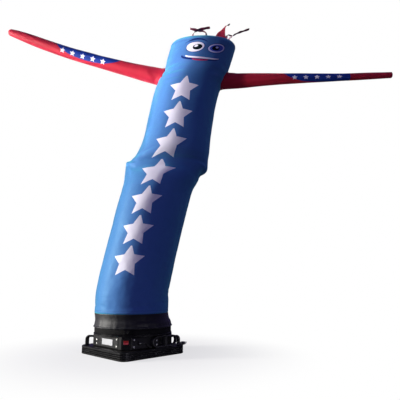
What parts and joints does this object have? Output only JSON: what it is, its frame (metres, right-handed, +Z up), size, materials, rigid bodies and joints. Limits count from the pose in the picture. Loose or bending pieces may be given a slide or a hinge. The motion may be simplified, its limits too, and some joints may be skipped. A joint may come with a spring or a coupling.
{
  "type": "inflatable air dancer on its blower",
  "caption": "Leaning inflatable fabric tube with two tapered arms, printed round face and ribbon hair, strapped to a low square electric blower with carry handles and a folded mains cord.",
  "frame": {"origin": "centre of the blower's underside, on the floor", "axes": "+Z up, the printed face looks along -Y, +X to the viewer's right, the way the tube leans"},
  "size_m": [2.702, 0.6204, 2.193],
  "materials": {
    "blue_nylon": "matte ripstop nylon, blue, with printed front",
    "red_nylon": "matte ripstop nylon, red",
    "black_nylon": "matte ripstop nylon, black",
    "webbing": "woven webbing, black",
    "black_plastic": "moulded, fine texture",
    "grey_plastic": "moulded, fine texture",
    "cover_steel": "powder coated, dark grey",
    "satin_aluminium": "satin",
    "zinc_steel": "zinc plated",
    "red_plastic": "gloss",
    "cord_rubber": "matte",
    "plug_metal": "nickel plated"
  },
  "bodies": {
    "dancer": {"arm_level": "red_nylon", "arm_raised": "red_nylon", "base_tray": "black_plastic", "body_tube": "blue_nylon", "collar": "black_nylon", "cord_gland": "cord_rubber", "cord_hank": "cord_rubber", "cord_lead": "cord_rubber", "cord_tail": "cord_rubber", "cord_tie": "webbing", "cover_plate_left": "cover_steel", "cover_plate_right": "cover_steel", "hair_curl_left": "red_nylon", "hair_curl_middle": "red_nylon", "hair_fold": "red_nylon", "hair_long": "red_nylon", "hair_peak": "red_nylon", "handle_left": "black_plastic", "handle_right": "black_plastic", "housing": "grey_plastic", "housing_lid": "grey_plastic", "outlet_ring": "black_plastic", "plug_blade_left": "plug_metal", "plug_blade_right": "plug_metal", "plug_body": "cord_rubber", "plug_pin": "plug_metal", "rating_plate": "satin_aluminium", "screw_left_inner_high": "zinc_steel", "screw_left_inner_low": "zinc_steel", "screw_left_outer_high": "zinc_steel", "screw_left_outer_low": "zinc_steel", "screw_right_inner_high": "zinc_steel", "screw_right_inner_low": "zinc_steel", "screw_right_outer_high": "zinc_steel", "screw_right_outer_low": "zinc_steel", "strap": "webbing", "strap_buckle": "black_plastic", "switch_bezel": "black_plastic"},
    "rocker": {"switch_rocker": "red_plastic"}
  },
  "joints": [
    {"name": "switch_rock", "type": "hinge", "parent": "dancer", "child": "rocker", "pos_m": [0, -0.23909, 0.0905], "axis": [1, 0, 0], "range_deg": [0, 14]}
  ]
}
